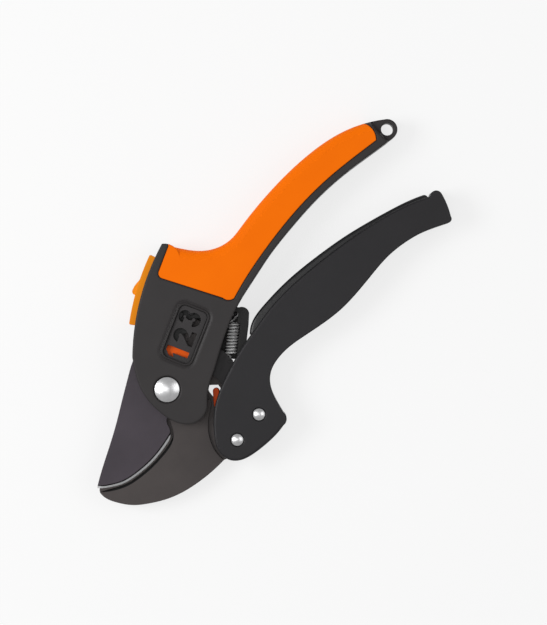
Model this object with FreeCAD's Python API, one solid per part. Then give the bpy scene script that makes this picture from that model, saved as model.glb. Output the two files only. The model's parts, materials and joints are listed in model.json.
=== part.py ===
import FreeCAD, Part
import math
import os

# Ratchet pruning shears, closed, lying flat. Millimetres, +Z up.
# Drawn around the blade pivot at (0, 0); +X runs from the jaws to the handle ends.
# Every piece is moved at the end so that the whole tool stands on z = 0, centred on x and y.

V = FreeCAD.Vector

# ---- driving dimensions ----------------------------------------------------
HOUSING_HALF = 9.5          # half thickness of the upper handle and its cheeks
CAVITY_HALF = 6.3           # half gap between the two housing cheeks
HANDLE_HALF = 8.6           # half thickness of the lower handle
CHANNEL_HALF = 5.5          # half gap between the lower handle cheeks
BLADE_Z = (0.06, 3.25)      # blade and ratchet link layer
HOOK_Z = (-3.95, -0.06)     # counter blade layer
FRONT_Z = (3.35, 5.3)       # spring carrier and indicator layer
JAW_TOP = 1.6               # height of the raised face of the hook jaw
GRIP_SKIN = 1.8             # thickness of the soft grip
PALM_RADIUS = 4.5           # rounding of the upper handle along the palm
FINGER_RADIUS = 4.3         # rounding of the lower handle along the fingers

PIVOT_A = (6.85, -41.5)     # lower handle on the counter blade tang
PIVOT_B = (23.1, -40.2)     # ratchet link on the lower handle
NOTCHES = [(16.6, 7.7), (24.0, 10.5), (32.2, 15.2)]
NOSE_R = 2.5                # nose of the ratchet link
NOTCH_R = 3.1               # notches in the blade tang
RIVET_R = 2.5
RIVET_BORE_R = 2.56
RIVET_HEAD_R = 2.95
RIVET_SEAT_R = 3.3
RIVET_SEAT_DEPTH = 0.7
RIVET_DOME = 4.6            # sphere radius of the rivet heads
BOSS_R = 4.6                # bosses inside the lower handle at its two rivets
BOLT_R = 4.0
BOLT_BORE_R = 4.05
BOLT_HEAD_R = 6.05
BOLT_DOME = 11.8            # sphere radius of the bolt head
BUSHING_R = 5.0
BUSHING_BORE_R = 5.06
HUB_R = 9.0                 # bosses of the housing round the bolt
NUT_SEAT_R = 7.4
PIN_R = 1.02                # small rivets and the pin of the indicator flag
PIN_BORE_R = 1.05

TRACK = (82.3, -62.1)       # centre of the curved track of the lock slider
TRACK_R = 119.0             # radius of the upper edge of the housing
SLIDER_ANGLES = (110.0, 126.8)
LOCK_TRAVEL = 1.93          # degrees about the track centre, 4 mm along the track
LOCK_ANGLE = 120.6          # where the tongue stands on the track

HANG_HOLE = (165.7, 13.9)
HANG_R = 3.0
TAB_HALF = 4.6

WINDOW = (25.3, 12.8)
WINDOW_ANGLE = 23.6
WINDOW_SIZE = (27.0, 14.6)
WINDOW_R = 3.0
RIM_WIDTH = 1.0
PLATE_Z = (6.3, 7.9)
PLATE_TOP = 8.45            # middle height of the sloping plate face
PLATE_SLOPE = 0.0385

INSERT_HALF = 6.6           # half thickness of the strip set into the lower handle

SPRING_LOW = (31.0, -12.0)  # spring post on the ratchet link
SPRING_TOP = (49.6, 2.6)    # spring pin on the carrier
SPRING_Z = -1.2
SPRING_R = 2.5
SPRING_LEAD = 4.05          # straight hook length at each end of the coil
WIRE_R = 0.42
EYE_R = 1.25                # hook eyes of the spring
POST_R = 0.78
COILS = 10
TROUGH_Z = (-5.2, -4.4)     # floor of the spring carrier behind the spring

CARRIER_RIVETS = [(30.0, 21.6), (35.2, 18.6)]
PEGS = [(29.0, 12.0), (4.0, 15.5)]      # pegs of the rear shell that hold the counter blade

SCREWS = [(62.0, 22.0), (106.0, 25.0), (148.0, 21.5)]
SCREW_WELL_R = 3.0
SCREW_HEAD_R = 2.7
SCREW_R = 1.55
SCREW_BORE_R = 1.6
PEG_R = 1.7
PEG_BORE_R = 1.8

THROUGH = 20.0              # half height of a tool that cuts right through the shears


# ---- small drawing helpers -------------------------------------------------
def point(xy, z=0.0):
    return V(xy[0], xy[1], z)


def polar(centre, radius, degrees):
    angle = math.radians(degrees)
    return (centre[0] + radius * math.cos(angle), centre[1] + radius * math.sin(angle))


def edge(chain, z=0.0):
    """Two points make a line, three an arc, more a smooth curve."""
    points = [point(p, z) for p in chain]
    if len(points) == 2:
        return Part.makeLine(points[0], points[1])
    if len(points) == 3:
        return Part.Arc(points[0], points[1], points[2]).toShape()
    curve = Part.BSplineCurve()
    curve.interpolate(points)
    return curve.toShape()


def wire(chains, z=0.0):
    return Part.Wire([edge(chain, z) for chain in chains])


def slab(chains, z0, z1):
    """Closed outline pushed up from z0 to z1."""
    return Part.Face(wire(chains, z0)).extrude(V(0, 0, z1 - z0))


def polygon(points, z0, z1):
    loop = [point(p, z0) for p in points]
    return Part.Face(Part.makePolygon(loop + loop[:1])).extrude(V(0, 0, z1 - z0))


def disc(centre, radius, z0, z1):
    return Part.makeCylinder(radius, z1 - z0, point(centre, z0))


def ring(centre, inner, outer, z0, z1):
    return disc(centre, outer, z0, z1).cut(disc(centre, inner, z0 - 1, z1 + 1))


def bar(p, q, half, z0, z1):
    """Straight bar with round ends."""
    length = math.hypot(q[0] - p[0], q[1] - p[1])
    nx = -(q[1] - p[1]) / length * half
    ny = (q[0] - p[0]) / length * half
    body = polygon([(p[0] + nx, p[1] + ny), (p[0] - nx, p[1] - ny),
                    (q[0] - nx, q[1] - ny), (q[0] + nx, q[1] + ny)], z0, z1)
    return body.fuse(disc(p, half, z0, z1)).fuse(disc(q, half, z0, z1)).removeSplitter()


def rounded_box(centre, size, radius, degrees, z0, z1):
    """Rounded rectangle turned about its centre."""
    w = size[0] / 2.0 - radius
    h = size[1] / 2.0 - radius
    body = Part.makeBox(size[0], 2 * h, z1 - z0, V(-size[0] / 2.0, -h, z0))
    body = body.fuse(Part.makeBox(2 * w, size[1], z1 - z0, V(-w, -size[1] / 2.0, z0)))
    for sx in (-w, w):
        for sy in (-h, h):
            body = body.fuse(disc((sx, sy), radius, z0, z1))
    body = body.removeSplitter()
    body.rotate(V(0, 0, 0), V(0, 0, 1), degrees)
    body.translate(point(centre))
    return body


def track_band(r0, r1, a0, a1, z0, z1):
    """Piece of a ring about the centre of the lock track."""
    mid = (a0 + a1) / 2.0
    return slab([[polar(TRACK, r1, a0), polar(TRACK, r1, mid), polar(TRACK, r1, a1)],
                 [polar(TRACK, r1, a1), polar(TRACK, r0, a1)],
                 [polar(TRACK, r0, a1), polar(TRACK, r0, mid), polar(TRACK, r0, a0)],
                 [polar(TRACK, r0, a0), polar(TRACK, r1, a0)]], z0, z1)


def sweep(path, section):
    """Section given as (inward, height) pairs, carried along a flat path at constant height."""
    start = path.Edges[0].valueAt(path.Edges[0].FirstParameter)
    along = path.Edges[0].tangentAt(path.Edges[0].FirstParameter)
    inward = V(0, 0, 1).cross(along)
    loop = [start + inward * n + V(0, 0, h) for n, h in section]
    pipe = Part.BRepOffsetAPI.MakePipeShell(path)
    pipe.setBiNormalMode(V(0, 0, 1))
    pipe.add(Part.makePolygon(loop + loop[:1]))
    pipe.build()
    pipe.makeSolid()
    return pipe.shape()


def edges_near(shape, z, test):
    """Edges lying at height z whose middle passes the test."""
    found = []
    for item in shape.Edges:
        box = item.BoundBox
        if abs(box.ZMin - z) < 0.02 and abs(box.ZMax - z) < 0.02:
            middle = item.valueAt((item.FirstParameter + item.LastParameter) / 2.0)
            if test(middle):
                found.append(item)
    return found


def everywhere(middle):
    return True


# ---- outlines --------------------------------------------------------------
NOSE_ANGLE = 134.24         # where the track edge runs into the nose of the housing
NOSE_SIDE = [polar(TRACK, TRACK_R, NOSE_ANGLE), (-5.1, 16.8), (-8.4, 10.2), (-10.2, 2.5), (-10.1, -6.5),
             (-7.6, -15.3), (-3.5, -20.1), (1.85, -21.8), (6.5, -20.6), (10.3, -17.3),
             (14.9, -13.5), (21.1, -10.3), (31.8, -4.6), (45.7, 2.0), (54.0, 4.95), (66.0, 7.7),
             (82.0, 11.0), (98.0, 12.9),
             (118.0, 14.0), (138.0, 12.8), (154.0, 10.4), (164.9, 8.9)]
OUTER_SIDE = [(168.3, 18.2), (162.0, 22.5), (154.0, 26.6), (142.0, 30.4), (130.0, 32.3), (114.0, 33.1),
              (98.0, 32.5), (82.0, 30.7), (74.0, 29.9), (68.0, 31.0), (62.0, 34.1), (58.0, 37.7),
              (54.0, 42.9), (51.6, 46.6)]


def housing_outline(skin):
    """Upper handle seen flat; skin moves the outer side inwards."""
    outer = [OUTER_SIDE[0]] + [(x - 0.2 * skin, y - skin) for x, y in OUTER_SIDE[1:-2]]
    outer += [(x - 0.8 * skin, y - 0.6 * skin) for x, y in OUTER_SIDE[-2:]]
    corner = (48.4 - 0.3 * skin, 51.95 - 0.15 * skin)
    return [NOSE_SIDE,
            [NOSE_SIDE[-1], (170.7, 13.9), OUTER_SIDE[0]],
            outer,
            [outer[-1], (50.6 - 0.7 * skin, 49.6 - 0.5 * skin), corner],
            [corner, polar(TRACK, TRACK_R, 120.0), NOSE_SIDE[0]]]


def grip_region(gap):
    """Area of the soft grip; gap pulls its visible border inwards."""
    g = gap
    return [[(50.6 + g, 12.2 + g), (36.4 + g, 40.0)],
            [(36.4 + g, 40.0), (36.26 + g, 42.2 - g / 2), (37.8 + g, 43.8 - g)],
            [(37.8 + g, 43.8 - g), (49.9, 49.1 - g)],
            [(49.9, 49.1 - g), (62.0, 70.0)],
            [(62.0, 70.0), (175.0, 50.0)],
            [(175.0, 50.0), (159.7 - g, 23.9)],
            [(159.7 - g, 23.9), (160.5 - g, 18.6), (158.0 - g, 13.7 + g)],
            [(158.0 - g, 13.7 + g), (146.0, 15.3 + g), (130.0, 17.0 + g), (114.0, 17.4 + g),
             (98.0, 16.4 + g), (82.0, 14.3 + g), (68.0, 11.7 + g), (54.6, 8.2 + g)],
            [(54.6, 8.2 + g), (52.2 + g / 2, 9.2 + g), (50.6 + g, 12.2 + g)]]


HANDLE_INNER = [(-2.2, -46.7), (-3.75, -42.0), (-3.1, -37.6), (-0.5, -33.2), (4.2, -27.8),
                (10.3, -22.5), (16.5, -19.0), (22.6, -16.6), (30.3, -14.0), (38.0, -11.8),
                (45.7, -10.3), (54.0, -9.0), (62.0, -7.7), (70.0, -7.1), (78.0, -7.1),
                (90.0, -7.9), (110.0, -10.4), (130.0, -14.2), (150.0, -20.5), (157.2, -24.0)]
HANDLE_OUTER = [(154.8, -39.7), (150.0, -37.3), (142.0, -33.8), (134.0, -31.6), (122.0, -30.2),
                (110.0, -31.0), (98.0, -32.1), (88.0, -32.3), (78.0, -31.2), (66.0, -28.9),
                (57.0, -27.4), (49.0, -27.5), (42.0, -29.6), (37.2, -34.0), (34.3, -40.2),
                (32.2, -48.0)]
LOBE_FOOT = [(28.0, -52.4), (22.0, -53.1), (14.0, -52.8), (7.0, -51.8), (2.0, -50.2), (-2.2, -46.7)]


def handle_outline():
    return [HANDLE_INNER,
            [(157.2, -24.0), (160.6, -23.6), (162.1, -26.8)],
            [(162.1, -26.8), (160.2, -32.6), (157.4, -38.0)],
            [(157.4, -38.0), (156.4, -39.5), (154.8, -39.7)],
            HANDLE_OUTER,
            [(32.2, -48.0), (31.2, -51.2), (28.0, -52.4)],
            LOBE_FOOT]


CUT_EDGE = [(-58.6, -9.9), (-56.6, -12.0), (-53.0, -14.6), (-49.0, -16.9), (-45.1, -18.3),
            (-38.9, -19.4), (-31.2, -19.95), (-25.1, -19.6), (-17.4, -18.3)]
SPINE = [(5.9, 23.6), (-2.0, 21.8), (-10.0, 17.5), (-18.0, 12.8), (-30.0, 5.6), (-42.0, -0.8),
         (-50.0, -4.9), (-58.6, -9.9)]
BLADE_HEEL = [(-17.4, -18.3), (-14.4, -16.4), (-12.4, -13.2)]


def tang_top(degrees):
    """Upper edge of the blade tang, at a radius that grows away from the spine."""
    return polar((0, 0), 24.3 + (75.9 - degrees) * 0.335, degrees)


def blade_outline():
    top = [tang_top(a) for a in (33.0, 44.0, 55.0, 66.0, 75.9)]
    return [CUT_EDGE,
            BLADE_HEEL,
            [(-12.4, -13.2), (-9.6, -9.6), (-4.5, -11.0)],
            [(-4.5, -11.0), (6.4, -9.8), (11.6, 0.0)],
            [(11.6, 0.0), (12.6, 6.6)],
            [(12.6, 6.6), (37.0, 17.6)],
            [(37.0, 17.6), (37.4, 20.4), top[0]],
            top,
            [top[-1]] + SPINE[1:]]


HOOK_RIM = [(-59.1, -12.2), (-54.3, -16.1), (-46.6, -19.9), (-38.9, -21.4), (-31.2, -21.95),
            (-23.5, -21.5), (-17.4, -20.4), (-14.0, -18.2), (-11.8, -15.2), (-9.9, -11.6)]
HOOK_BACK = [(-5.0, -44.0), (-14.0, -43.8), (-22.0, -42.8), (-30.0, -41.0), (-38.0, -37.9),
             (-46.0, -33.1), (-52.0, -28.2), (-57.0, -21.2), (-59.2, -15.6), (-59.1, -12.2)]
HOOK_STEP = [(11.6, -18.2), (10.3, -19.8), (3.4, -24.8), (-2.0, -30.9), (-4.7, -37.1), (-5.0, -44.0)]


def hook_outline():
    return [HOOK_BACK,
            [(-59.1, -12.2), (-58.4, -11.2), (-57.0, -10.6)],
            [(-57.0, -10.6), (-51.0, -13.2), (-45.1, -15.1), (-38.9, -16.3), (-31.2, -16.9),
             (-25.0, -16.6), (-18.0, -14.6), (-12.4, -11.4), (-9.3, -6.0), (-9.0, 2.0),
             (-6.0, 12.0), (1.0, 18.5), (12.0, 23.0)],
            [(12.0, 23.0), (26.0, 22.5)],
            [(26.0, 22.5), (33.0, 17.0), (35.0, 8.0)],
            [(35.0, 8.0), (22.0, -7.6)],
            [(22.0, -7.6), (21.6, -13.0), (20.6, -19.5), (17.6, -27.0), (15.2, -33.0),
             (14.2, -40.6)],
            [(14.2, -40.6), (10.0, -48.1), (3.7, -48.1)],
            [(3.7, -48.1), (-5.0, -44.0)]]


BUFFER_SLOT = [(14.6, -12.3), (16.5, -13.6), (19.0, -16.0), (18.4, -19.5), (15.6, -24.6), (13.0, -24.0),
               (12.9, -20.0), (13.4, -15.5)]


def hook_face(reach):
    """Raised face of the hook jaw; reach carries its rim towards the blade edge."""
    rim = [HOOK_RIM[0]]
    rim += [(x + 0.2 * reach, y + 1.5 * reach) for x, y in HOOK_RIM[1:7]]
    rim += [(x + 0.9 * reach, y + 1.2 * reach) for x, y in HOOK_RIM[7:9]]
    rim += [(HOOK_RIM[9][0] + 1.1 * reach, HOOK_RIM[9][1] + 0.4 * reach)]
    return [rim, [rim[-1], (0.0, -13.6), HOOK_STEP[0]], HOOK_STEP, HOOK_BACK]


# ---- upper handle ----------------------------------------------------------
def round_cutter(path, radius, half):
    """Two cutters that round both rims of a body of the given half thickness along a path."""
    cutters = []
    for side in (1, -1):
        start = path[0]
        dx, dy = path[1][0] - start[0], path[1][1] - start[1]
        length = math.hypot(dx, dy)
        inward = V(-dy / length, dx / length, 0)
        bend = radius * (1 - math.sqrt(0.5))

        def spot(n, depth):
            return point(start) + inward * n + V(0, 0, side * (half - depth))

        section = Part.Wire([Part.Arc(spot(radius, 0), spot(bend, bend), spot(0, radius)).toShape(),
                             Part.makeLine(spot(0, radius), spot(-3, radius)),
                             Part.makeLine(spot(-3, radius), spot(-3, -2)),
                             Part.makeLine(spot(-3, -2), spot(radius, -2)),
                             Part.makeLine(spot(radius, -2), spot(radius, 0))])
        pipe = Part.BRepOffsetAPI.MakePipeShell(Part.Wire([edge(path)]))
        pipe.setBiNormalMode(V(0, 0, 1))
        pipe.add(section)
        pipe.build()
        pipe.makeSolid()
        cutters.append(pipe.shape())
    return cutters


def palm_edge(middle):
    return middle.x > 60 and middle.y > 17


def handle_block(skin, palm_radius):
    """Upper handle without its hollows, rounded along the palm."""
    half = HOUSING_HALF - skin
    body = slab(housing_outline(skin), -half, half)
    rims = edges_near(body, half, palm_edge) + edges_near(body, -half, palm_edge)
    return body.makeFillet(palm_radius, rims)


def mechanism_space():
    """Free space between the two housing cheeks."""
    arc = [polar(TRACK, 113.5, a) for a in (112.6, 121.0, 128.9)]
    mouth = polar(TRACK, 117.2, 131.0)
    return slab([arc,
                 [arc[2], mouth],
                 [mouth, (-8.0, 30.0)],
                 [(-8.0, 30.0), (-30.0, 20.0)],
                 [(-30.0, 20.0), (-30.0, -40.0)],
                 [(-30.0, -40.0), (64.0, -40.0)],
                 [(64.0, -40.0), (57.5, 5.2)],
                 [(57.5, 5.2), (50.0, 17.0)],
                 [(50.0, 17.0), arc[0]]], -CAVITY_HALF, CAVITY_HALF)


def slider_slot():
    """T-shaped track for the lock slider and the gap its tongue passes through."""
    low, high = SLIDER_ANGLES[0] - 0.25, SLIDER_ANGLES[1] + LOCK_TRAVEL + 0.3
    slot = track_band(115.9, 118.2, low, high, -6.2, 6.2)
    slot = slot.fuse(track_band(118.0, 130.0, low, high, -5.2, 5.2))
    tongue = track_band(112.0, 117.0, LOCK_ANGLE - 1.9, LOCK_ANGLE + 1.9 + LOCK_TRAVEL, -0.4, 3.8)
    return slot.fuse(tongue)


def hang_tab_relief():
    """Wedges that thin the hang tab at the end of the handle."""
    half = HOUSING_HALF + 1
    relief = []
    for side in (1, -1):
        profile = [V(160.6, 0, side * half), V(162.5, 0, side * TAB_HALF), V(175.0, 0, side * TAB_HALF),
                   V(175.0, 0, side * half), V(160.6, 0, side * half)]
        relief.append(Part.Face(Part.makePolygon(profile)).extrude(V(0, 40, 0)))
    return relief


def screw_space(centre):
    """Access well, head seat and thread bore of one rear screw."""
    well = disc(centre, SCREW_WELL_R, -THROUGH, -5.5)
    return well.fuse(disc(centre, SCREW_BORE_R, -6, 5.0))


def housing_body(full, grip_pocket):
    body = full.cut(grip_pocket)
    for wedge in hang_tab_relief():
        body = body.cut(wedge)
    body = body.cut(mechanism_space())
    root = CAVITY_HALF + 0.5
    body = body.fuse(ring((0, 0), BOLT_BORE_R, HUB_R, 3.75, root))
    body = body.fuse(ring((0, 0), BOLT_BORE_R, HUB_R, -root, HOOK_Z[0] - 0.02))
    for centre in PEGS:
        body = body.fuse(disc(centre, PEG_R + 1.3, -root, HOOK_Z[0] - 0.02))
        body = body.fuse(disc(centre, PEG_R, -root, HOOK_Z[1] - 0.4))
    body = body.cut(slider_slot())
    body = body.cut(disc((0, 0), BOLT_BORE_R, -THROUGH, THROUGH))
    body = body.cut(disc((0, 0), BOLT_HEAD_R + 0.55, HOUSING_HALF - 1.2, THROUGH))
    body = body.cut(disc((0, 0), NUT_SEAT_R, -THROUGH, -7.0))
    body = body.cut(disc(HANG_HOLE, HANG_R, -THROUGH, THROUGH))
    for centre in SCREWS:
        body = body.cut(screw_space(centre))
    return body


def window_cuts():
    """Stepped opening in the front cheek for the number plate."""
    lip = rounded_box(WINDOW, WINDOW_SIZE, WINDOW_R, WINDOW_ANGLE, PLATE_Z[1], THROUGH)
    size = (WINDOW_SIZE[0] + 1.6, WINDOW_SIZE[1] + 1.6)
    return lip.fuse(rounded_box(WINDOW, size, WINDOW_R + 0.8, WINDOW_ANGLE, PLATE_Z[0] - 1, PLATE_Z[1]))


def window_moat():
    """Shallow dished recess around the window rim."""
    wires = []
    for grow, z in ((2.2, HOUSING_HALF - 0.6), (5.4, HOUSING_HALF + 0.1)):
        size = (WINDOW_SIZE[0] + grow, WINDOW_SIZE[1] + grow)
        dish = rounded_box(WINDOW, size, WINDOW_R + grow / 2, WINDOW_ANGLE, z, z + 1)
        wires.append([face.OuterWire for face in dish.Faces if abs(face.BoundBox.ZMax - z) < 0.01][0])
    return Part.makeLoft(wires, True, True)


def window_rim():
    size = (WINDOW_SIZE[0] + 2 * RIM_WIDTH, WINDOW_SIZE[1] + 2 * RIM_WIDTH)
    top = HOUSING_HALF + 0.35
    outer = rounded_box(WINDOW, size, WINDOW_R + RIM_WIDTH, WINDOW_ANGLE, HOUSING_HALF - 0.9, top)
    outer = outer.makeChamfer(0.3, edges_near(outer, top, everywhere))
    return outer.cut(rounded_box(WINDOW, WINDOW_SIZE, WINDOW_R, WINDOW_ANGLE, 0, THROUGH))


def half_space(z0, z1):
    return Part.makeBox(300, 200, z1 - z0, V(-90, -90, z0))


def digit(kind):
    """Bold stencil strokes of one digit, about 11 mm tall, centred on the origin."""
    if kind == 1:
        flag = [(1.7, 5.6), (-0.6, 5.6), (-3.0, 3.4), (-3.0, 0.9), (-1.2, 2.0)]
        return polygon([(-1.2, -5.6), (1.7, -5.6)] + flag, 0, THROUGH)
    if kind == 2:
        gap = polygon([(0, 2.2), (-6, 2.2), (-6, -6), (6, -6), (0.6, 0.2)], -1, THROUGH + 1)
        bow = ring((0, 1.8), 0.9, 3.5, 0, THROUGH).cut(gap)
        foot = [(0.4, -2.9), (3.5, -2.9), (3.5, -5.4)]
        leg = polygon([(-3.5, -5.4), (-3.5, -3.3), (0.6, 0.9), (3.0, -0.1)] + foot, 0, THROUGH)
        return bow.fuse(leg)
    upper = ring((0, 2.4), 0.7, 3.1, 0, THROUGH)
    lower = ring((0, -2.2), 0.85, 3.4, 0, THROUGH)
    gap = polygon([(-6, 2.6), (-0.2, 2.4), (-0.9, 0.1), (-0.2, -2.2), (-6, -2.5)], -1, THROUGH + 1)
    return upper.fuse(lower).cut(gap)


def number_plate():
    size = (WINDOW_SIZE[0] + 1.5, WINDOW_SIZE[1] + 1.5)
    plate = rounded_box(WINDOW, size, WINDOW_R + 0.75, WINDOW_ANGLE, PLATE_Z[0], PLATE_Z[1] - 0.02)
    size = (WINDOW_SIZE[0] - 0.4, WINDOW_SIZE[1] - 0.4)
    raised = rounded_box((0, 0), size, 2.8, 0, PLATE_Z[0], PLATE_Z[1] + 2)
    far = THROUGH
    low, high = PLATE_TOP - far * PLATE_SLOPE, PLATE_TOP + far * PLATE_SLOPE
    above = [V(-far, -far, low), V(far, -far, high), V(far, -far, far), V(-far, -far, far)]
    above.append(above[0])
    raised = raised.cut(Part.Face(Part.makePolygon(above)).extrude(V(0, 2 * far, 0)))
    raised.rotate(V(0, 0, 0), V(0, 0, 1), WINDOW_ANGLE)
    raised.translate(point(WINDOW))
    plate = plate.fuse(raised)
    for kind, centre in ((1, (16.5, 9.4)), (2, (24.1, 12.4)), (3, (32.3, 16.8))):
        cut = digit(kind)
        cut.rotate(V(0, 0, 0), V(0, 0, 1), WINDOW_ANGLE)
        cut.translate(point(centre))
        plate = plate.cut(cut)
    return plate


def grip_overmould(full, core):
    region = slab(grip_region(0.25), -THROUGH, THROUGH)
    skin = full.common(region).cut(core)
    for centre in SCREWS:
        skin = skin.cut(disc(centre, SCREW_WELL_R, -THROUGH, -5))
    return skin


def housing_screws():
    screws = []
    for centre in SCREWS:
        head = disc(centre, SCREW_HEAD_R, -7.4, -5.55)
        head = head.makeFillet(0.5, edges_near(head, -7.4, everywhere))
        head = head.cut(Part.makeBox(3.6, 0.7, 0.9, point((centre[0] - 1.8, centre[1] - 0.35), -7.5)))
        head = head.cut(Part.makeBox(0.7, 3.6, 0.9, point((centre[0] - 0.35, centre[1] - 1.8), -7.5)))
        screws.append(head.fuse(disc(centre, SCREW_R, -5.6, 4.6)))
    return Part.makeCompound(screws)


# ---- blades and pivot ------------------------------------------------------
def counter_blade():
    plate = slab(hook_outline(), HOOK_Z[0], HOOK_Z[1])
    plate = plate.makeChamfer(0.5, edges_near(plate, HOOK_Z[0], lambda m: m.x < -8 and m.y < -12))
    face = Part.makeLoft([wire(hook_face(1.0), HOOK_Z[1] - 0.3), wire(hook_face(0.0), JAW_TOP)], True, True)
    body = plate.fuse(face).cut(polygon(BUFFER_SLOT, HOOK_Z[0] - 1, JAW_TOP + 1))
    body = body.cut(disc((0, 0), BOLT_BORE_R, -THROUGH, THROUGH))
    body = body.cut(disc(PIVOT_A, RIVET_BORE_R, -THROUGH, THROUGH))
    for centre in PEGS:
        body = body.cut(disc(centre, PEG_BORE_R, -THROUGH, THROUGH))
    return body


def cutting_blade():
    body = slab(blade_outline(), BLADE_Z[0], BLADE_Z[1])
    for notch in NOTCHES:
        body = body.cut(disc(notch, NOTCH_R, -5, 10))
    low, high = LOCK_ANGLE + LOCK_TRAVEL - 1.5, LOCK_ANGLE + LOCK_TRAVEL + 1.5
    body = body.cut(track_band(110.35, 116.0, low, high, -5, 10))
    body = body.cut(disc((0, 0), BUSHING_BORE_R, -5, 10))
    for centre in CARRIER_RIVETS:
        body = body.cut(disc(centre, PIN_BORE_R, -5, 10))
    bevel = [(-3.0, -0.1), (-0.25, -0.1), (1.15, 2.35), (1.65, 3.3), (1.65, 5.0), (-3.0, 5.0)]
    path = Part.Wire([edge([(-60.6, -7.9)] + CUT_EDGE + [(-13.5, -17.4)])])
    return body.cut(sweep(path, bevel))


def pivot_bolt():
    head = disc((0, 0), BOLT_HEAD_R, HOUSING_HALF - 1.18, HOUSING_HALF + 0.1)
    cap = Part.makeSphere(BOLT_DOME, V(0, 0, HOUSING_HALF + 1.75 - BOLT_DOME))
    head = head.fuse(disc((0, 0), BOLT_HEAD_R, HOUSING_HALF, HOUSING_HALF + 3).common(cap))
    return head.fuse(disc((0, 0), BOLT_R, -9.0, HOUSING_HALF - 1.0)).removeSplitter()


def pivot_nut():
    corners = [polar((0, 0), 6.9, 60 * i + 15) for i in range(6)]
    nut = polygon(corners, -9.4, -7.45)
    nut = nut.common(disc((0, 0), 6.6, -9.4, -7.45))
    return nut.cut(disc((0, 0), BOLT_R + 0.03, -THROUGH, THROUGH))


def pivot_washers():
    return Part.makeCompound([ring((0, 0), BUSHING_R - 0.9, 8.6, 3.3, 3.72),
                              ring((0, 0), BOLT_BORE_R, NUT_SEAT_R - 0.2, -7.42, -7.02)])


def pivot_bushing():
    return ring((0, 0), BOLT_R + 0.03, BUSHING_R, HOOK_Z[1] + 0.02, 3.28)


def stop_buffer(hook):
    pad = bar((16.2, -17.4), (12.0, -22.4), 1.6, -3.6, 4.6)
    pad = pad.makeFillet(0.5, edges_near(pad, 4.6, everywhere))
    return pad.cut(hook)


# ---- spring carrier, link and lower handle ---------------------------------
def spring_line(distance):
    """Point on the spring axis, measured from its top pin."""
    dx = SPRING_LOW[0] - SPRING_TOP[0]
    dy = SPRING_LOW[1] - SPRING_TOP[1]
    share = distance / math.hypot(dx, dy)
    return (SPRING_TOP[0] + dx * share, SPRING_TOP[1] + dy * share)


def spring_carrier():
    """Hooked arm on the blade tang, with a wall and a floor round the spring."""
    elbow_side = [(53.1, 3.6), (55.2, 0.8), (54.6, -1.8)]
    elbow_foot = [(54.6, -1.8), (50.3, -5.7)]
    outline = [[(26.6, 22.4), (29.0, 25.4), (33.0, 24.0)],
               [(33.0, 24.0), (40.0, 19.5), (47.5, 11.0), (53.1, 3.6)],
               elbow_side,
               elbow_foot,
               [(50.3, -5.7), (39.2, -14.4)],
               [(39.2, -14.4), (36.6, -14.6), (36.4, -11.7)],
               [(36.4, -11.7), (47.9, -2.6)],
               [(47.9, -2.6), (44.2, 3.4), (37.4, 11.6), (33.5, 15.4)],
               [(33.5, 15.4), (29.0, 18.6)],
               [(29.0, 18.6), (26.6, 22.4)]]
    trough = [elbow_side,
              elbow_foot,
              [(50.3, -5.7), (44.0, -10.6)],
              [(44.0, -10.6), (41.9, -8.0)],
              [(41.9, -8.0), (41.0, 6.0)],
              [(41.0, 6.0), (53.1, 3.6)]]
    floor = [elbow_side,
             elbow_foot,
             [(50.3, -5.7), (39.2, -14.4)],
             [(39.2, -14.4), (34.0, -13.2), (31.8, -8.0)],
             [(31.8, -8.0), (32.6, 0.0), (38.0, 6.0)],
             [(38.0, 6.0), (53.1, 3.6)]]
    walls = slab(trough, TROUGH_Z[0], FRONT_Z[0] + 0.5)
    coil_room = SPRING_R + WIRE_R + 0.3
    hook_room = EYE_R + WIRE_R + 0.25
    walls = walls.cut(bar(spring_line(SPRING_LEAD + 0.9), spring_line(30), coil_room, TROUGH_Z[1], 9))
    walls = walls.cut(bar(SPRING_TOP, spring_line(30), hook_room, TROUGH_Z[1], 9))
    arm = slab(outline, FRONT_Z[0], FRONT_Z[1])
    arm = arm.cut(bar(spring_line(0.5), spring_line(6), hook_room - 0.4, 0, 9))
    body = arm.fuse(walls).fuse(slab(floor, TROUGH_Z[0], TROUGH_Z[1]))
    body = body.fuse(disc(SPRING_TOP, POST_R, TROUGH_Z[0], 1.2))
    for centre in CARRIER_RIVETS:
        body = body.cut(disc(centre, PIN_BORE_R, -5, 10))
    return body


def carrier_rivets():
    rivets = []
    for centre in CARRIER_RIVETS:
        head = disc(centre, 1.9, FRONT_Z[1] + 0.02, FRONT_Z[1] + 0.7)
        head = head.makeFillet(0.4, edges_near(head, FRONT_Z[1] + 0.7, everywhere))
        rivets.append(head.fuse(disc(centre, PIN_R, BLADE_Z[0], FRONT_Z[1] + 0.3)))
    return Part.makeCompound(rivets)


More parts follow.
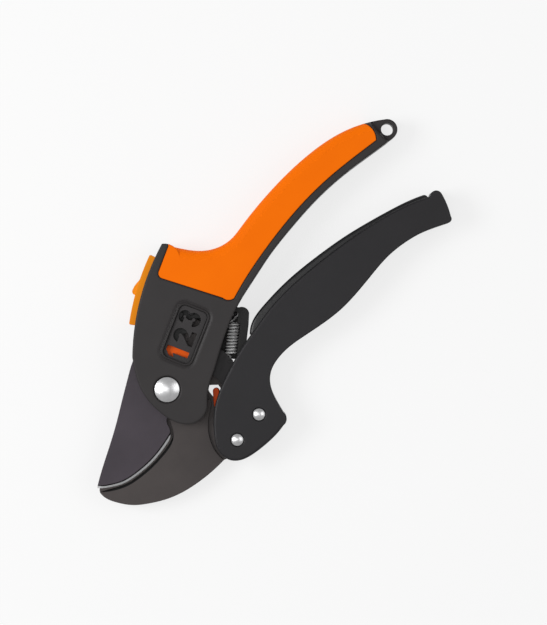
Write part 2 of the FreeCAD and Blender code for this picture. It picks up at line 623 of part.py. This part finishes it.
def ratchet_link():
    nose = NOTCHES[0]
    outline = [[(16.9, -41.0), (23.1, -46.6), (29.4, -41.0)],
               [(29.4, -41.0), (30.2, -32.0), (31.6, -20.0), (32.4, -12.0), (32.6, -6.0)],
               [(32.6, -6.0), (30.0, -2.0), (25.8, 1.0)],
               [(25.8, 1.0), (21.2, 4.2), (18.2, 8.5)],
               [(18.2, 8.5), (16.4, 9.4), (14.9, 7.4)],
               [(14.9, 7.4), (16.4, 1.5), (19.4, -4.4), (20.7, -11.0), (20.3, -20.0), (18.2, -31.0),
                (16.9, -41.0)]]
    body = slab(outline, BLADE_Z[0], BLADE_Z[1])
    body = body.fuse(disc(nose, NOSE_R, BLADE_Z[0], BLADE_Z[1]))
    body = body.cut(disc(PIVOT_B, RIVET_BORE_R, -5, 10))
    coil = SPRING_R + WIRE_R
    body = body.cut(bar(SPRING_LOW, SPRING_TOP, coil + 0.3, -5, SPRING_Z + coil + 0.25))
    body = body.cut(disc(SPRING_LOW, POST_R + 0.02, -5, 10))
    return body.cut(disc(nose, PIN_BORE_R, -5, 10))


def indicator_flag():
    body = rounded_box((16.6, 9.3), (7.6, 14.6), 1.6, WINDOW_ANGLE, FRONT_Z[0], FRONT_Z[1])
    return body.fuse(disc(NOTCHES[0], PIN_R, BLADE_Z[0], FRONT_Z[0] + 0.5))


def spring_post():
    """Riveted post that hangs under the link and carries the lower spring hook."""
    post = disc(SPRING_LOW, POST_R, SPRING_Z - 1.4, BLADE_Z[1])
    return post.fuse(disc(SPRING_LOW, 1.5, SPRING_Z - 1.9, SPRING_Z - 1.2))


def extension_spring():
    """Coil with a hook at each end, built along +Z and then laid on its line."""
    dx = SPRING_TOP[0] - SPRING_LOW[0]
    dy = SPRING_TOP[1] - SPRING_LOW[1]
    length = math.hypot(dx, dy)
    height = length - 2 * SPRING_LEAD
    helix = Part.makeHelix(height / COILS, height, SPRING_R)
    section = Part.Wire(Part.makeCircle(WIRE_R, V(SPRING_R, 0, 0), V(0, 1, 0)))
    body = Part.Wire(helix.Edges).makePipeShell([section], True, True)
    body.translate(V(0, 0, SPRING_LEAD))
    for z0, sign in ((SPRING_LEAD, -1), (length - SPRING_LEAD, 1)):
        leg = Part.Wire([edge([(SPRING_R, 0), (SPRING_R * 0.6, sign * 1.0), (0.0, sign * 1.5)]),
                         edge([(0.0, sign * 1.5), (0.0, sign * (SPRING_LEAD - EYE_R))])])
        leg.rotate(V(0, 0, 0), V(1, 0, 0), 90)
        leg.translate(V(0, 0, z0))
        end = Part.Wire(Part.makeCircle(WIRE_R, V(SPRING_R, 0, z0), V(0, 0, 1)))
        body = body.fuse(leg.makePipeShell([end], True, False))
    for z0 in (0.0, length):
        eye = Part.makeTorus(EYE_R, WIRE_R, V(0, 0, 0), V(0, 1, 0))
        eye.translate(V(0, 0, z0))
        body = body.fuse(eye)
    body.rotate(V(0, 0, 0), V(0, 1, 0), 90)
    body.rotate(V(0, 0, 0), V(1, 0, 0), 90)
    body.rotate(V(0, 0, 0), V(0, 0, 1), math.degrees(math.atan2(dy, dx)))
    body.translate(point(SPRING_LOW, SPRING_Z))
    return body


def near_cheek(middle):
    return (middle.y > -15 and middle.x < 120) or (middle.x < 29 and middle.y < -48)


def lower_handle():
    body = slab(handle_outline(), -HANDLE_HALF, HANDLE_HALF)
    rim = edges_near(body, HANDLE_HALF, near_cheek) + edges_near(body, -HANDLE_HALF, near_cheek)
    body = body.makeFillet(1.0, rim)
    finger = [(31.4, -60.0), (32.8, -47.0)] + HANDLE_OUTER[-2::-1] + [(164.0, -45.0), (172.0, -54.0)]
    for cutter in round_cutter(finger, FINGER_RADIUS, HANDLE_HALF):
        body = body.cut(cutter)
    channel = slab([[(5.8, -49.3), (13.0, -50.2), (21.0, -50.6), (27.6, -49.8)],
                    [(27.6, -49.8), (29.4, -48.6), (30.0, -46.6)],
                    [(30.0, -46.6), (32.0, -39.4), (35.0, -32.8), (40.0, -27.4), (46.0, -21.0),
                     (50.5, -13.0), (53.4, -6.0)],
                    [(53.4, -6.0), (54.0, 10.0)],
                    [(54.0, 10.0), (-20.0, 10.0)],
                    [(-20.0, 10.0), (-20.0, -56.0)],
                    [(-20.0, -56.0), (4.9, -56.0)],
                    [(4.9, -56.0), (5.8, -49.3)]], -CHANNEL_HALF, CHANNEL_HALF)
    body = body.cut(channel).cut(slab(insert_outline(), -INSERT_HALF, INSERT_HALF))
    root = CHANNEL_HALF + 0.3
    body = body.fuse(disc(PIVOT_A, BOSS_R, 0.14, root))
    body = body.fuse(disc(PIVOT_A, BOSS_R, -root, HOOK_Z[0] - 0.2))
    body = body.fuse(disc(PIVOT_B, BOSS_R, BLADE_Z[1] + 0.2, root))
    body = body.fuse(disc(PIVOT_B, BOSS_R, -root, -0.15))
    seat = HANDLE_HALF - RIVET_SEAT_DEPTH
    for pivot in (PIVOT_A, PIVOT_B):
        body = body.cut(disc(pivot, RIVET_R + 0.02, -THROUGH, THROUGH))
        body = body.cut(disc(pivot, RIVET_SEAT_R, seat, THROUGH))
        body = body.cut(disc(pivot, RIVET_SEAT_R, -THROUGH, -seat))
    return body


def insert_outline():
    """Strip set into the inner side of the lower handle."""
    top = [(47.5, -9.4), (50.2, -7.2), (53.6, -5.6), (58.0, -4.6), (62.0, -4.2), (70.0, -3.8),
           (78.0, -3.8), (90.0, -4.7), (102.0, -6.3), (114.0, -8.4), (126.0, -11.3),
           (138.0, -14.7), (148.0, -18.0), (155.4, -21.2)]
    return [top,
            [(155.4, -21.2), (156.2, -22.4), (155.4, -24.6)],
            [(155.4, -24.6), (138.0, -18.6), (114.0, -12.9), (90.0, -9.9), (74.0, -9.2), (62.0, -9.8),
             (50.8, -11.6)],
            [(50.8, -11.6), (48.3, -11.0), (47.5, -9.4)]]


def handle_insert():
    body = slab(insert_outline(), -INSERT_HALF + 0.02, INSERT_HALF - 0.02)
    for z in (INSERT_HALF - 0.02, 0.02 - INSERT_HALF):
        body = body.makeFillet(1.5, edges_near(body, z, lambda m: m.y > -11.4 and 80 < m.x < 130))
    return body


def handle_rivets():
    rivets = []
    seat = HANDLE_HALF - RIVET_SEAT_DEPTH + 0.02
    crown = HANDLE_HALF + 0.95 - RIVET_DOME
    for pivot in (PIVOT_A, PIVOT_B):
        shank = disc(pivot, RIVET_R, -HANDLE_HALF, HANDLE_HALF)
        for side, low in ((1, seat), (-1, -seat - 4)):
            head = Part.makeSphere(RIVET_DOME, point(pivot, side * crown))
            shank = shank.fuse(head.common(disc(pivot, RIVET_HEAD_R, low, low + 4)))
        rivets.append(shank)
    return Part.makeCompound(rivets)


# ---- lock ------------------------------------------------------------------
def lock_slider():
    low, high = SLIDER_ANGLES
    body = track_band(116.1, 117.95, low, high, -6.0, 6.0)
    cap = track_band(117.5, 122.1, low, high, -4.9, 4.9)
    cap = cap.makeFillet(0.8, [e for e in cap.Edges if e.BoundBox.ZLength > 5
                               and math.hypot(e.valueAt(0).x - TRACK[0], e.valueAt(0).y - TRACK[1]) > 121])
    ramp = [polar(TRACK, r, a) for r, a in ((121.6, 115.4), (122.3, 116.4), (123.4, 117.7), (123.9, 118.8))]
    brow = [ramp[-1], polar(TRACK, 123.75, 119.5), polar(TRACK, 122.9, 119.85)]
    foot = polar(TRACK, 121.5, 119.95)
    bump = slab([ramp, brow, [brow[-1], foot], [foot, ramp[0]]], -4.4, 4.4)
    body = body.fuse(cap).fuse(bump)
    return body.cut(track_band(115.0, 118.0, LOCK_ANGLE - 1.0, LOCK_ANGLE + 1.0, 0.5, 2.9))


def lock_tongue():
    return track_band(112.5, 117.9, LOCK_ANGLE - 0.97, LOCK_ANGLE + 0.97, 0.55, 2.85)


def build():
    full = handle_block(0, PALM_RADIUS)
    core = handle_block(GRIP_SKIN, PALM_RADIUS - 1.3)
    pocket = slab(grip_region(0.0), -THROUGH, THROUGH).cut(core)
    housing = housing_body(full, pocket)
    hook = counter_blade()
    parts = {}
    front = housing.common(half_space(0.0, 30)).cut(window_moat()).fuse(window_rim()).cut(window_cuts())
    parts["housing_front"] = front
    parts["housing_rear"] = housing.common(half_space(-30, 0.0))
    parts["grip_overmould"] = grip_overmould(full, core)
    parts["number_plate"] = number_plate()
    parts["housing_screws"] = housing_screws()
    parts["counter_blade"] = hook
    parts["cutting_blade"] = cutting_blade()
    parts["pivot_bolt"] = pivot_bolt()
    parts["pivot_nut"] = pivot_nut()
    parts["pivot_washers"] = pivot_washers()
    parts["pivot_bushing"] = pivot_bushing()
    parts["stop_buffer"] = stop_buffer(hook)
    parts["spring_carrier"] = spring_carrier()
    parts["carrier_rivets"] = carrier_rivets()
    parts["extension_spring"] = extension_spring()
    parts["lower_handle"] = lower_handle()
    parts["handle_insert"] = handle_insert()
    parts["handle_rivets"] = handle_rivets()
    parts["ratchet_link"] = ratchet_link()
    parts["indicator_flag"] = indicator_flag()
    parts["spring_post"] = spring_post()
    parts["lock_slider"] = lock_slider()
    parts["lock_tongue"] = lock_tongue()
    return parts


os.makedirs("parts", exist_ok=True)
pieces = build()
box = FreeCAD.BoundBox()
for shape in pieces.values():
    box.add(shape.optimalBoundingBox(False))
shift = V(-(box.XMin + box.XMax) / 2.0, -(box.YMin + box.YMax) / 2.0, -box.ZMin)
for name, shape in pieces.items():
    shape.translate(shift)
    shape.exportStep("parts/" + name + ".step")
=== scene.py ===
import json
import math

import bpy
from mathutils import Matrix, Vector


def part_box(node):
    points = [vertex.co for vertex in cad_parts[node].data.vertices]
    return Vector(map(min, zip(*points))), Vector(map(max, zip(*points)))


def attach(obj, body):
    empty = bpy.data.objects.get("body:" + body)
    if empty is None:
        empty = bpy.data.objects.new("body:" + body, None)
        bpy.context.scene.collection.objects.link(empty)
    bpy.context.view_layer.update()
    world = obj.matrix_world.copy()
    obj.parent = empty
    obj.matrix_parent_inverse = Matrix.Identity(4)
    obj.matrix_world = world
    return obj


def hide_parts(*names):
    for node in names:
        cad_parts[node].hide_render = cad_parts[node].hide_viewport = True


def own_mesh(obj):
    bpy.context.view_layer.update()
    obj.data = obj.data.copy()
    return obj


# Looks of the ratchet pruning shears. Metres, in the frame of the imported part.
# +X runs from the jaws to the handle ends, +Z is through the thickness.

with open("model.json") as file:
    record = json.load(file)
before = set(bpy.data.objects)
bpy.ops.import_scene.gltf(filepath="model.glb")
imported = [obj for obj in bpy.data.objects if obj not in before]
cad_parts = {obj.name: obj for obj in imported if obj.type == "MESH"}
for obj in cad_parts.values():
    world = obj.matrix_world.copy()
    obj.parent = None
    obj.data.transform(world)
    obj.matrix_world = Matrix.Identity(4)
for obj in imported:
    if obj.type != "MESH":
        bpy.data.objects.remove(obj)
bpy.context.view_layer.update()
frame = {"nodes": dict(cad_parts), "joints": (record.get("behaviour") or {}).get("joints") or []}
nodes = frame["nodes"]
joints = {joint["name"]: joint for joint in frame["joints"]}
PIVOT = Vector(joints["blade_pivot"]["pos_m"])      # centre of the blade bolt
MM = 0.001

MOTTLE_SCALE = 60.0         # broad patches of moulded plastic
GRAIN_SCALE = 2600.0        # fine grain of moulded plastic
CLOUD_SCALE = 45.0          # patches in the blade coating
LINE_SCALE = 900.0          # grinding lines along the coated steel
MARK_SCALE = 1400.0         # turned or drawn marks on bare metal
SMUDGE_SCALE = 220.0        # dull patches on bare metal
BEVEL_SAMPLES = 6
COATING_METAL = 0.35        # metallic share of coated steel
BLADE_METAL = 0.3           # the same on the blades, which have 0 on the bright ground edge
SLOPE_UP = 0.25             # faces that look up less than this are sides, not rim slopes


# ---- node helpers ----------------------------------------------------------
def new_material(name, color, roughness, metallic=0.0):
    """Material with its Principled shader; returns material, nodes, links and shader."""
    material = bpy.data.materials.new(name)
    material.use_nodes = True
    tree = material.node_tree
    shader = tree.nodes["Principled BSDF"]
    shader.inputs["Base Color"].default_value = (*color, 1.0)
    shader.inputs["Roughness"].default_value = roughness
    shader.inputs["Metallic"].default_value = metallic
    return material, tree.nodes, tree.links, shader


def object_coords(tree_nodes, links, scale):
    """Object coordinates stretched by scale."""
    coords = tree_nodes.new("ShaderNodeTexCoord")
    mapping = tree_nodes.new("ShaderNodeMapping")
    mapping.inputs["Scale"].default_value = scale
    links.new(coords.outputs["Object"], mapping.inputs["Vector"])
    return mapping.outputs["Vector"]


def noise(tree_nodes, links, vector, scale, detail=3.0, rough=0.55):
    """Noise between 0 and 1."""
    node = tree_nodes.new("ShaderNodeTexNoise")
    node.inputs["Scale"].default_value = scale
    node.inputs["Detail"].default_value = detail
    node.inputs["Roughness"].default_value = rough
    links.new(vector, node.inputs["Vector"])
    return node.outputs["Fac"]


def ramp(tree_nodes, links, value, stops):
    """Colour ramp through (position, colour) stops."""
    node = tree_nodes.new("ShaderNodeValToRGB")
    elements = node.color_ramp.elements
    while len(elements) < len(stops):
        elements.new(0.5)
    for element, (position, color) in zip(elements, stops):
        element.position = position
        element.color = (*color, 1.0)
    links.new(value, node.inputs["Fac"])
    return node.outputs["Color"]


def value_range(tree_nodes, links, value, low, high):
    """Stretches a value between 0 and 1 to low and high."""
    node = tree_nodes.new("ShaderNodeMapRange")
    node.inputs["To Min"].default_value = low
    node.inputs["To Max"].default_value = high
    links.new(value, node.inputs["Value"])
    return node.outputs["Result"]


def bump(tree_nodes, links, height, strength, distance, base):
    """Fine relief on top of the normal base."""
    node = tree_nodes.new("ShaderNodeBump")
    node.inputs["Strength"].default_value = strength
    node.inputs["Distance"].default_value = distance
    links.new(height, node.inputs["Height"])
    links.new(base, node.inputs["Normal"])
    return node.outputs["Normal"]


def soft_edges(tree_nodes, radius):
    """Rounds the look of sharp edges."""
    node = tree_nodes.new("ShaderNodeBevel")
    node.samples = BEVEL_SAMPLES
    node.inputs["Radius"].default_value = radius
    return node.outputs["Normal"]


def moulded(name, color, roughness, spread, grain, edge, gloss=0.5, coat=0.0):
    """Moulded plastic or rubber: fine grain, slight mottling and softened edges."""
    material, tree_nodes, links, shader = new_material(name, color, roughness)
    shader.inputs["Specular IOR Level"].default_value = gloss
    vector = object_coords(tree_nodes, links, (1, 1, 1))
    broad = noise(tree_nodes, links, vector, MOTTLE_SCALE, 2.0)
    fine = noise(tree_nodes, links, vector, GRAIN_SCALE, 2.0, 0.6)
    darker = tuple(c * (1.0 - spread) for c in color)
    lighter = tuple(min(1.0, c * (1.0 + spread)) for c in color)
    tint = ramp(tree_nodes, links, broad, [(0.3, darker), (0.7, lighter)])
    links.new(tint, shader.inputs["Base Color"])
    rough = value_range(tree_nodes, links, fine, roughness - 0.05, roughness + 0.07)
    links.new(rough, shader.inputs["Roughness"])
    normal = bump(tree_nodes, links, fine, grain, 0.00006, soft_edges(tree_nodes, edge))
    links.new(normal, shader.inputs["Normal"])
    shader.inputs["Coat Weight"].default_value = coat
    shader.inputs["Coat Roughness"].default_value = 0.3
    return material


def coated_steel(name, color, bright, roughness):
    """Dark low-friction coating on steel, with faint grinding lines along X and brighter patches."""
    material, tree_nodes, links, shader = new_material(name, color, roughness, COATING_METAL)
    vector = object_coords(tree_nodes, links, (1, 1, 1))
    stretched = object_coords(tree_nodes, links, (0.12, 2.0, 2.0))
    lines = noise(tree_nodes, links, stretched, LINE_SCALE, 3.0, 0.6)
    cloud = noise(tree_nodes, links, vector, CLOUD_SCALE, 3.0)
    tint = ramp(tree_nodes, links, cloud, [(0.3, color), (0.75, bright)])
    links.new(tint, shader.inputs["Base Color"])
    rough = value_range(tree_nodes, links, lines, roughness - 0.07, roughness + 0.08)
    links.new(rough, shader.inputs["Roughness"])
    normal = bump(tree_nodes, links, lines, 0.12, 0.00004, soft_edges(tree_nodes, 0.00025))
    links.new(normal, shader.inputs["Normal"])
    return material


def math_node(tree_nodes, links, operation, first, second):
    """Two-input maths; an input is a socket or a number."""
    node = tree_nodes.new("ShaderNodeMath")
    node.operation = operation
    for socket, value in zip(node.inputs, (first, second)):
        if isinstance(value, float):
            socket.default_value = value
        else:
            links.new(value, socket)
    return node.outputs["Value"]


def slope_and_height(tree_nodes, links):
    """How far the true surface faces up, and the height in the frame of the part."""
    geometry = tree_nodes.new("ShaderNodeNewGeometry")
    normal = tree_nodes.new("ShaderNodeSeparateXYZ")
    links.new(geometry.outputs["True Normal"], normal.inputs["Vector"])
    coords = tree_nodes.new("ShaderNodeTexCoord")
    place = tree_nodes.new("ShaderNodeSeparateXYZ")
    links.new(coords.outputs["Object"], place.inputs["Vector"])
    return normal.outputs["Z"], place.outputs["Z"]


def mix_color(tree_nodes, links, share, first, second):
    """Blend from first to second by share; each is a socket or a colour."""
    node = tree_nodes.new("ShaderNodeMix")
    node.data_type = "RGBA"
    links.new(share, node.inputs["Factor"])
    for socket, value in ((node.inputs[6], first), (node.inputs[7], second)):
        if isinstance(value, tuple):
            socket.default_value = (*value, 1.0)
        else:
            links.new(value, socket)
    return node.outputs[2]


def ground_edge(material, black, silver, low, high, facing):
    """Slope along the rim of a coated blade: black, but silver between the heights low and high."""
    tree = material.node_tree
    shader = tree.nodes["Principled BSDF"]
    facing_up, height = slope_and_height(tree.nodes, tree.links)
    steep = math_node(tree.nodes, tree.links, "LESS_THAN", facing_up, facing)
    upward = math_node(tree.nodes, tree.links, "GREATER_THAN", facing_up, SLOPE_UP)
    slope = math_node(tree.nodes, tree.links, "MULTIPLY", steep, upward)
    above = math_node(tree.nodes, tree.links, "GREATER_THAN", height, low)
    below = math_node(tree.nodes, tree.links, "LESS_THAN", height, high)
    ground = math_node(tree.nodes, tree.links, "MULTIPLY", above, below)
    ground = math_node(tree.nodes, tree.links, "MULTIPLY", ground, slope)
    coat = shader.inputs["Base Color"].links[0].from_socket
    color = mix_color(tree.nodes, tree.links, slope, coat, black)
    color = mix_color(tree.nodes, tree.links, ground, color, silver)
    tree.links.new(color, shader.inputs["Base Color"])
    dull = math_node(tree.nodes, tree.links, "SUBTRACT", 1.0, ground)
    metal = math_node(tree.nodes, tree.links, "MULTIPLY", dull, BLADE_METAL)
    tree.links.new(metal, shader.inputs["Metallic"])


def painted_tang_shade(material, start, black):
    """Painted shade: black beyond start along +X, where the blade lies in the shade inside the housing.
    """
    tree = material.node_tree
    shader = tree.nodes["Principled BSDF"]
    coords = tree.nodes.new("ShaderNodeTexCoord")
    place = tree.nodes.new("ShaderNodeSeparateXYZ")
    tree.links.new(coords.outputs["Object"], place.inputs["Vector"])
    inside = math_node(tree.nodes, tree.links, "GREATER_THAN", place.outputs["X"], start)
    coat = shader.inputs["Base Color"].links[0].from_socket
    color = mix_color(tree.nodes, tree.links, inside, coat, black)
    tree.links.new(color, shader.inputs["Base Color"])


def bright_steel(name, color, roughness, edge, metallic=1.0):
    """Bare bright metal with fine marks and dull patches."""
    material, tree_nodes, links, shader = new_material(name, color, roughness, metallic)
    vector = object_coords(tree_nodes, links, (1, 1, 1))
    marks = noise(tree_nodes, links, vector, MARK_SCALE, 3.0, 0.6)
    smudge = noise(tree_nodes, links, vector, SMUDGE_SCALE, 3.0)
    dull = tuple(c * 0.86 for c in color)
    tint = ramp(tree_nodes, links, smudge, [(0.35, dull), (0.65, color)])
    links.new(tint, shader.inputs["Base Color"])
    rough = value_range(tree_nodes, links, marks, roughness - 0.06, roughness + 0.1)
    links.new(rough, shader.inputs["Roughness"])
    normal = bump(tree_nodes, links, marks, 0.1, 0.00003, soft_edges(tree_nodes, edge))
    links.new(normal, shader.inputs["Normal"])
    return material


HOUSING = moulded("housing_nylon", (0.027, 0.024, 0.0245), 0.44, 0.06, 0.25, 0.0014, 0.30)
HANDLE = moulded("handle_nylon", (0.015, 0.014, 0.016), 0.42, 0.06, 0.25, 0.0010, 0.30)
INSERT = moulded("insert_nylon", (0.003, 0.003, 0.004), 0.3, 0.06, 0.1, 0.0010, 0.4, 0.15)
GRIP = moulded("grip_rubber", (1.0, 0.175, 0.0), 0.55, 0.03, 0.25, 0.0008, 0.06)
PLATE = moulded("plate_plastic", (0.030, 0.027, 0.028), 0.5, 0.05, 0.2, 0.0004, 0.32)
ORANGE = moulded("orange_plastic", (1.0, 0.30, 0.0), 0.4, 0.04, 0.12, 0.0005, 0.15)
FLAG = moulded("flag_plastic", (1.0, 0.12, 0.0), 0.4, 0.04, 0.12, 0.0004, 0.15)
BUFFER = moulded("buffer_rubber", (0.55, 0.055, 0.0), 0.5, 0.05, 0.3, 0.0004, 0.2)
CARRIER = moulded("carrier_plastic", (0.004, 0.004, 0.004), 0.42, 0.05, 0.2, 0.0003, 0.3)
BLADE = coated_steel("blade_coating", (0.036, 0.028, 0.037), (0.050, 0.039, 0.051), 0.38)
HOOK = coated_steel("hook_coating", (0.044, 0.036, 0.035), (0.058, 0.048, 0.046), 0.42)
LINK = coated_steel("link_steel", (0.007, 0.006, 0.007), (0.012, 0.011, 0.012), 0.42)
BOLT = bright_steel("bright_zinc", (0.85, 0.85, 0.86), 0.3, 0.0003)
WIRE = bright_steel("spring_wire", (1.0, 1.0, 1.0), 0.4, 0.0001, 0.1)

BLADE_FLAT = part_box("cutting_blade")[0][2]          # lower face of the cutting blade
BLADE_RIM = (0.006, 0.005, 0.006)
# painted shade colour for the hook's rim slope
HOOK_SLOPE_SHADE = (0.006, 0.006, 0.006)
# painted shade colour for the blade tang inside the housing
TANG_SHADE = (0.004, 0.004, 0.004)
SILVER = (0.80, 0.81, 0.82)
ground_edge(BLADE, BLADE_RIM, SILVER, BLADE_FLAT - 0.1 * MM, BLADE_FLAT + 2.1 * MM, 0.8)
# painted shade: the hook's sloped rim beside the blade edge is made near black for the shade in that
# groove
ground_edge(HOOK, HOOK_SLOPE_SHADE, HOOK_SLOPE_SHADE, BLADE_FLAT - 1 * MM, BLADE_FLAT, 0.93)
# painted shade: the blade is darkened where it runs into the housing
painted_tang_shade(BLADE, PIVOT.x + 12 * MM, TANG_SHADE)

FINISHES = {
    "housing_front": HOUSING, "housing_rear": HOUSING, "grip_overmould": GRIP, "number_plate": PLATE,
    "housing_screws": BOLT, "counter_blade": HOOK, "cutting_blade": BLADE, "pivot_bolt": BOLT,
    "pivot_nut": BOLT, "pivot_washers": BOLT, "pivot_bushing": BOLT, "stop_buffer": BUFFER,
    "spring_carrier": CARRIER, "carrier_rivets": LINK, "extension_spring": WIRE, "lower_handle": HANDLE,
    "handle_insert": INSERT, "handle_rivets": BOLT, "ratchet_link": LINK, "indicator_flag": FLAG,
    "spring_post": LINK, "lock_slider": ORANGE, "lock_tongue": BOLT,
}


def finish_nodes():
    """Gives every CAD node its material."""
    for name, material in FINISHES.items():
        node = nodes[name]
        for slot in node.material_slots:
            slot.material = material


# ---- spring ----------------------------------------------------------------
SPRING_RADIUS = 2.5 * MM
WIRE_RADIUS = 0.42 * MM
WIRE_SIDES = 12
EYE_RADIUS = 1.25 * MM
LEAD = 4.05 * MM            # from the centre of an eye to the start of the coil
COILS = 10
STEPS_PER_COIL = 18


def half_hook():
    """Eye and leg of one end in spring coordinates (side, up, along), from the free tip to the coil."""
    turn = [math.radians(50 + 20 * i) for i in range(15)]
    eye = [Vector((math.sin(t), 0, math.cos(t))) * EYE_RADIUS for t in turn]
    leg = [(-0.1, 0, 1.7), (0, 0, 2.5), (0.8, -0.7, 3.2), (1.9, -1.1, 3.75)]
    return eye + [Vector(p) * MM for p in leg]


def spring_path(length):
    """Wire centre line from one hook tip to the other, with the low eye round the origin."""
    start = half_hook()
    steps = COILS * STEPS_PER_COIL
    height = length - 2 * LEAD
    coil = []
    for i in range(steps + 1):
        turn = 2 * math.pi * COILS * i / steps
        side = SPRING_RADIUS * math.cos(turn)
        up = SPRING_RADIUS * math.sin(turn)
        coil.append(Vector((side, up, LEAD + height * i / steps)))
    end = [Vector((p.x, -p.y, length - p.z)) for p in reversed(start)]
    return start + coil + end


def smooth_path(points, parts):
    """Catmull-Rom curve through the points."""
    path = []
    last = len(points) - 1
    for i in range(last):
        p0, p1, p2, p3 = points[max(i - 1, 0)], points[i], points[i + 1], points[min(i + 2, last)]
        for k in range(parts):
            t = k / parts
            path.append(0.5 * (2 * p1 + (p2 - p0) * t + (2 * p0 - 5 * p1 + 4 * p2 - p3) * t * t
                               + (3 * p1 - p0 - 3 * p2 + p3) * t ** 3))
    return path + [points[-1]]


def tube(name, path, radius, sides):
    """Round wire along a path, closed at both ends."""
    vertices, faces = [], []
    across = (path[1] - path[0]).orthogonal().normalized()
    for i, here in enumerate(path):
        along = (path[min(i + 1, len(path) - 1)] - path[max(i - 1, 0)]).normalized()
        across = (across - along * across.dot(along)).normalized()
        other = along.cross(across)
        for k in range(sides):
            turn = 2 * math.pi * k / sides
            vertices.append(here + (across * math.cos(turn) + other * math.sin(turn)) * radius)
    for i in range(len(path) - 1):
        for k in range(sides):
            low, side = i * sides, (k + 1) % sides
            faces.append((low + k, low + side, low + sides + side, low + sides + k))
    faces.append(tuple(reversed(range(sides))))
    faces.append(tuple(range(len(vertices) - sides, len(vertices))))
    mesh = bpy.data.meshes.new(name)
    mesh.from_pydata(vertices, [], faces)
    mesh.shade_smooth()
    return mesh


def coil_spring():
    """Extension spring hung between the link post and the carrier pin."""
    low, high = (Vector(corner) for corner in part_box("extension_spring"))
    centre = (low + high) / 2
    low, high = (Vector(corner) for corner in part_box("spring_post"))
    post = (low + high) / 2
    post.z = centre.z
    pin = 2 * centre - post
    along = (pin - post).normalized()
    side = Vector((-along.y, along.x, 0))
    up = Vector((0, 0, 1))
    local = smooth_path(spring_path((pin - post).length), 2)
    path = [post + side * p.x + up * p.y + along * p.z for p in local]
    mesh = tube("coil_spring", path, WIRE_RADIUS, WIRE_SIDES)
    mesh.materials.append(WIRE)
    spring = bpy.data.objects.new("coil_spring", mesh)
    bpy.context.scene.collection.objects.link(spring)
    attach(spring, "blade")
    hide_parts("extension_spring")
    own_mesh(spring)


# ---- studio ----------------------------------------------------------------
FLOOR_HALF = 3.0
FLOOR_Z = -0.0002           # just under the part, so that the faces don't meet
LIGHTS = (                  # name, place from the aim point, side length, watts
    ("key", (-0.45, 0.55, 0.8), 0.5, 5.6),
    ("fill", (0.7, -0.5, 0.9), 0.8, 2.6),
    ("top", (-0.1, 0.1, 1.3), 0.4, 1.0),
)


def studio_floor():
    """Plain pale floor that glows a little, so that the shadows stay soft."""
    mesh = bpy.data.meshes.new("floor")
    signs = ((-1, -1), (1, -1), (1, 1), (-1, 1))
    mesh.from_pydata([(x * FLOOR_HALF, y * FLOOR_HALF, FLOOR_Z) for x, y in signs], [], [(0, 1, 2, 3)])
    floor = bpy.data.objects.new("floor", mesh)
    bpy.context.scene.collection.objects.link(floor)
    material, _, _, shader = new_material("floor_paint", (0.22, 0.22, 0.22), 0.9)
    shader.inputs["Emission Color"].default_value = (1, 1, 1, 1)
    shader.inputs["Emission Strength"].default_value = 0.74
    mesh.materials.append(material)


def area_light(name, place, target, side, power):
    """Square light at place, turned to target."""
    data = bpy.data.lights.new(name, "AREA")
    data.shape = "SQUARE"
    data.size = side
    data.energy = power
    light = bpy.data.objects.new(name, data)
    light.location = place
    light.rotation_euler = (Vector(target) - Vector(place)).to_track_quat("-Z", "Y").to_euler()
    bpy.context.scene.collection.objects.link(light)


def studio_lights():
    """Three soft lights aimed at the middle of the tool, and a pale world."""
    centre = PIVOT + Vector((0.06, 0, 0))
    for name, offset, side, power in LIGHTS:
        area_light(name, centre + Vector(offset), centre, side, power)
    world = bpy.data.worlds.new("studio")
    world.use_nodes = True
    background = world.node_tree.nodes["Background"]
    background.inputs["Color"].default_value = (1, 1, 1, 1)
    background.inputs["Strength"].default_value = 0.40
    bpy.context.scene.world = world


VIEW_CENTRE = Vector((63.2, -10.1, 0)) * MM     # from the blade bolt
VIEW_HEIGHT = 306.2 * MM                        # height of the picture in the part's plane
VIEW_DISTANCE = 1.4
SENSOR = 24.0
VIEW_TURN = -45.0                               # degrees about the line of sight


def studio_camera():
    """Straight down on the tool, turned so that the handles point to the upper right."""
    data = bpy.data.cameras.new("camera")
    data.sensor_fit = "VERTICAL"
    data.sensor_height = SENSOR
    data.lens = SENSOR * VIEW_DISTANCE / VIEW_HEIGHT
    data.clip_start = 0.01
    camera = bpy.data.objects.new("camera", data)
    camera.location = PIVOT + VIEW_CENTRE + Vector((0, 0, VIEW_DISTANCE))
    camera.rotation_euler = (0, 0, math.radians(VIEW_TURN))
    bpy.context.scene.collection.objects.link(camera)
    bpy.context.scene.camera = camera


finish_nodes()
coil_spring()
studio_floor()
studio_lights()
studio_camera()
bpy.context.scene.view_settings.view_transform = "Standard"
